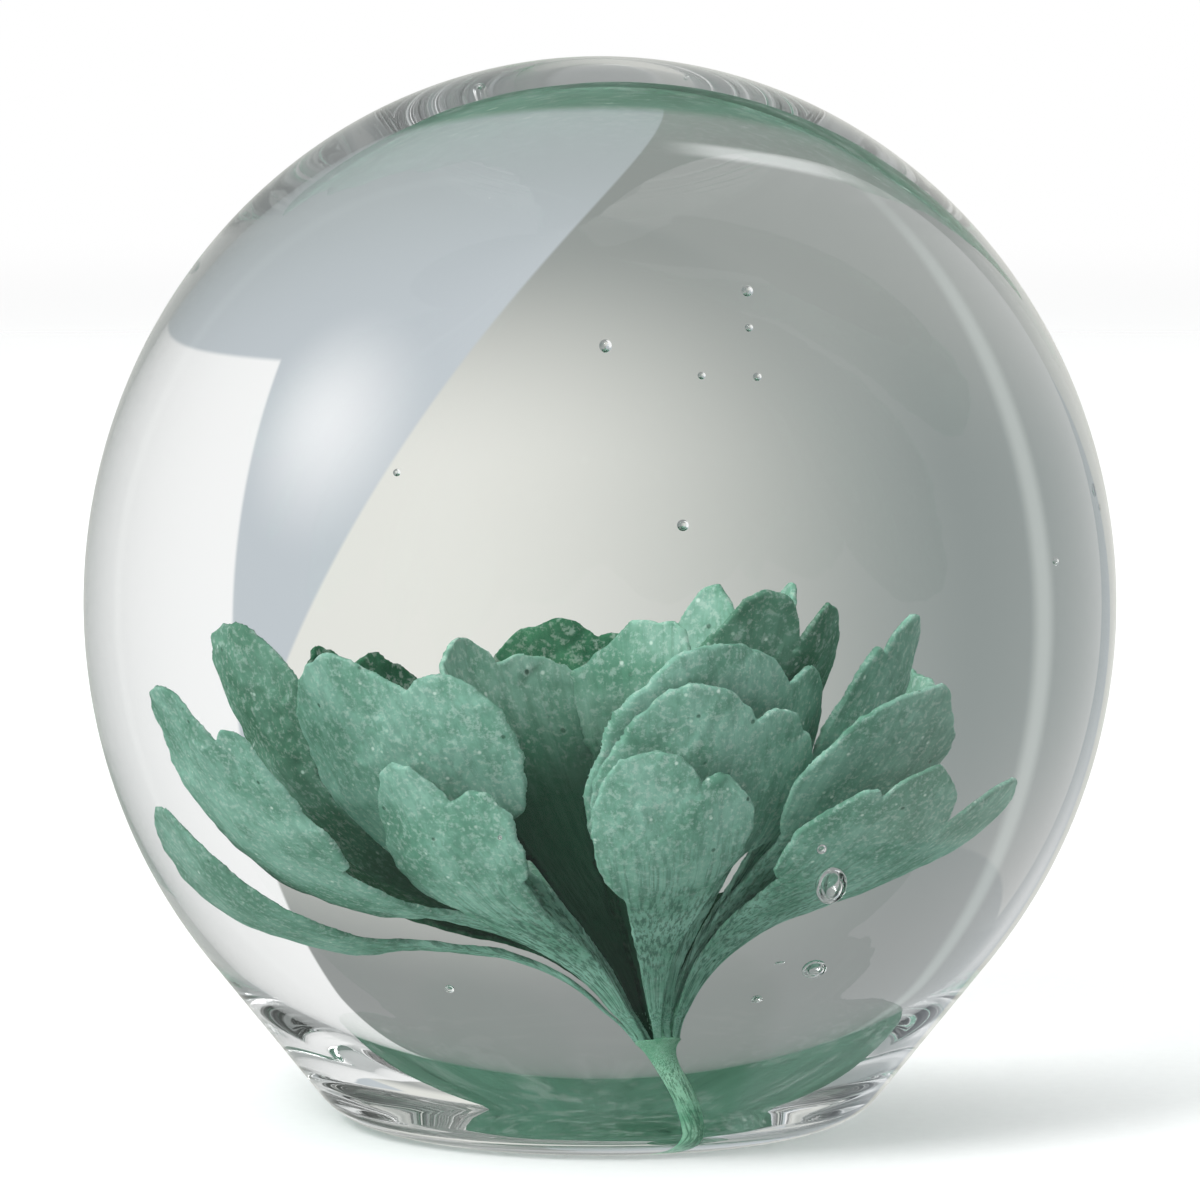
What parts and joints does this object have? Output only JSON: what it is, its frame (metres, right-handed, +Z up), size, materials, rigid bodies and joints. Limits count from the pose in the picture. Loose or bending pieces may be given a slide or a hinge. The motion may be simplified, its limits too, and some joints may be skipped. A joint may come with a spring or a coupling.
{
  "type": "paperweight",
  "caption": "Clear glass ball with a flat foot, holding a layered glass flower on a short stem and a scatter of air bubbles.",
  "frame": {"origin": "centre of the flat foot, on the table", "axes": "+Z up through the crown; +X to the right as seen from the front; the flower's front faces -Y"},
  "size_m": [0.08, 0.08, 0.0826],
  "materials": {
    "clear_glass": "polished",
    "petal_glass": "powdery, satin",
    "stem_glass": "satin"
  },
  "bodies": {
    "root": {"clear_glass_ball": "clear_glass", "flower_stem": "stem_glass", "outer_petal_front": "petal_glass", "outer_petal_front_left": "petal_glass", "outer_petal_left_high": "petal_glass", "outer_petal_left_low": "petal_glass", "outer_petal_back_left": "petal_glass", "outer_petal_back": "petal_glass", "outer_petal_back_right": "petal_glass", "outer_petal_right_low": "petal_glass", "outer_petal_right_front": "petal_glass", "outer_petal_front_right": "petal_glass", "middle_petal_front_left": "petal_glass", "middle_petal_left": "petal_glass", "middle_petal_back_left": "petal_glass", "middle_petal_back": "petal_glass", "middle_petal_right_high": "petal_glass", "middle_petal_right": "petal_glass", "middle_petal_right_low": "petal_glass", "middle_petal_front": "petal_glass", "inner_petal_back_left": "petal_glass", "inner_petal_back": "petal_glass", "inner_petal_front_right": "petal_glass", "middle_petal_back_right": "petal_glass", "inner_petal_right": "petal_glass"}
  },
  "joints": []
}
